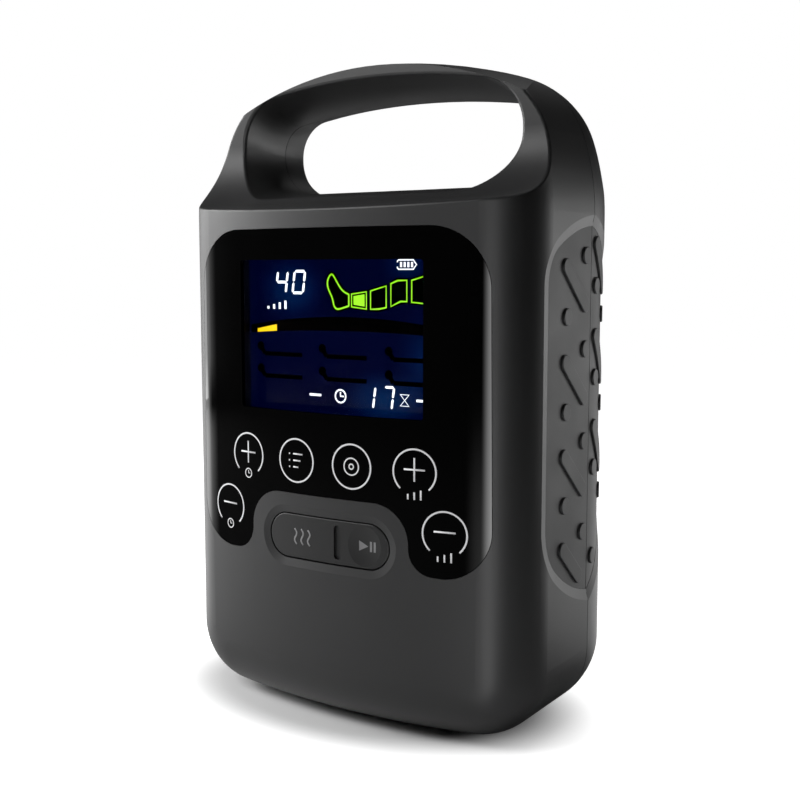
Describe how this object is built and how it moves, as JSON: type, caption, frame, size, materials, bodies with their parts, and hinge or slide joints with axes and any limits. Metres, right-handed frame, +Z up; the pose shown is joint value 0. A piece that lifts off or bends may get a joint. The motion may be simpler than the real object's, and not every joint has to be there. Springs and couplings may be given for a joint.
{
  "type": "compression therapy pump",
  "caption": "Portable compression therapy pump: upright housing with a carrying handle, recessed display, touch keys, a rocker button, side grips and hose ports.",
  "frame": {"origin": "under the middle of the housing, on the surface that the rubber feet rest on", "axes": "+Z up, +X to the right seen from the front, -Y towards the person who faces the display"},
  "size_m": [0.151, 0.097, 0.2441],
  "materials": {
    "body_plastic": "fine matte grain",
    "soft_grip": "soft matte elastomer",
    "panel_gloss": "polished black",
    "clear_window": "clear",
    "black_plastic": "satin black",
    "rocker_plastic": "satin",
    "display_face": "dark blue display",
    "white_plastic": "satin white",
    "green_board": "solder mask",
    "steel": "bright",
    "copper": "bright",
    "chip_epoxy": "matte",
    "capacitor_can": "bright",
    "ribbon_film": "satin",
    "cell_wrap": "satin",
    "black_rubber": "matte",
    "magnet": "dull",
    "grey_plastic": "satin",
    "coil_resin": "satin",
    "silicone_tube": "translucent white",
    "label_film": "satin silver"
  },
  "bodies": {
    "casing": {"backlight": "white_plastic", "battery_cells": "cell_wrap", "battery_cover": "black_plastic", "battery_tray": "black_plastic", "board_capacitors": "capacitor_can", "board_chips": "chip_epoxy", "board_connectors": "black_plastic", "buzzer": "black_plastic", "case_screws": "steel", "control_panel": "panel_gloss", "dc_contact": "steel", "dc_inlet": "grey_plastic", "display_bezel": "black_plastic", "display_board": "green_board", "display_ribbon": "ribbon_film", "display_window": "clear_window", "front_shell": "body_plastic", "grip_pad_front_left": "soft_grip", "grip_pad_front_right": "soft_grip", "grip_pad_rear_left": "soft_grip", "grip_pad_rear_right": "soft_grip", "hose_port": "grey_plastic", "intake_filter": "black_plastic", "lcd_glass": "display_face", "main_board": "green_board", "motor_bearings": "steel", "motor_can": "steel", "motor_cap": "grey_plastic", "motor_magnets": "magnet", "pressure_tube": "silicone_tube", "pump_body": "grey_plastic", "pump_deck": "steel", "pump_diaphragm": "black_rubber", "pump_gasket": "black_rubber", "pump_head": "grey_plastic", "pump_mounts": "black_rubber", "pump_valve_plate": "black_plastic", "rating_label": "label_film", "rear_shell": "body_plastic", "rocker_cradle": "black_plastic", "rocker_pin": "steel", "rubber_feet": "black_rubber", "small_screws": "steel", "switch_boards": "green_board", "switch_domes": "steel", "touch_board": "green_board", "touch_springs": "copper", "valve_coil_1": "coil_resin", "valve_coil_2": "coil_resin", "valve_coil_3": "coil_resin", "valve_coil_4": "coil_resin", "valve_manifold": "grey_plastic"},
    "rocker": {"rocker_button": "rocker_plastic"},
    "rotor": {"motor_rotor": "steel"},
    "rod": {"pump_rod": "grey_plastic"},
    "plunger_1": {"valve_plunger_1": "steel"},
    "plunger_2": {"valve_plunger_2": "steel"},
    "plunger_3": {"valve_plunger_3": "steel"},
    "plunger_4": {"valve_plunger_4": "steel"}
  },
  "joints": [
    {"name": "rocker_tilt", "type": "hinge", "parent": "casing", "child": "rocker", "pos_m": [0.0005, -0.0434, 0.0698], "axis": [0, 0, 1], "range_deg": [-2.5, 2.5], "stiffness_Nm_per_rad": 0.6},
    {"name": "motor_spin", "type": "hinge", "parent": "casing", "child": "rotor", "pos_m": [-0.016, 0.002, 0.0575], "axis": [1, 0, 0], "continuous": true},
    {"name": "pump_stroke", "type": "slide", "parent": "casing", "child": "rod", "axis": [0, 0, 1], "range_m": [-0.0015, 0.0015], "stiffness_N_per_m": 300},
    {"name": "valve_1_stroke", "type": "slide", "parent": "casing", "child": "plunger_1", "axis": [0, 0, 1], "range_m": [0, 0.0012], "stiffness_N_per_m": 300},
    {"name": "valve_2_stroke", "type": "slide", "parent": "casing", "child": "plunger_2", "axis": [0, 0, 1], "range_m": [0, 0.0012], "stiffness_N_per_m": 300},
    {"name": "valve_3_stroke", "type": "slide", "parent": "casing", "child": "plunger_3", "axis": [0, 0, 1], "range_m": [0, 0.0012], "stiffness_N_per_m": 300},
    {"name": "valve_4_stroke", "type": "slide", "parent": "casing", "child": "plunger_4", "axis": [0, 0, 1], "range_m": [0, 0.0012], "stiffness_N_per_m": 300}
  ]
}
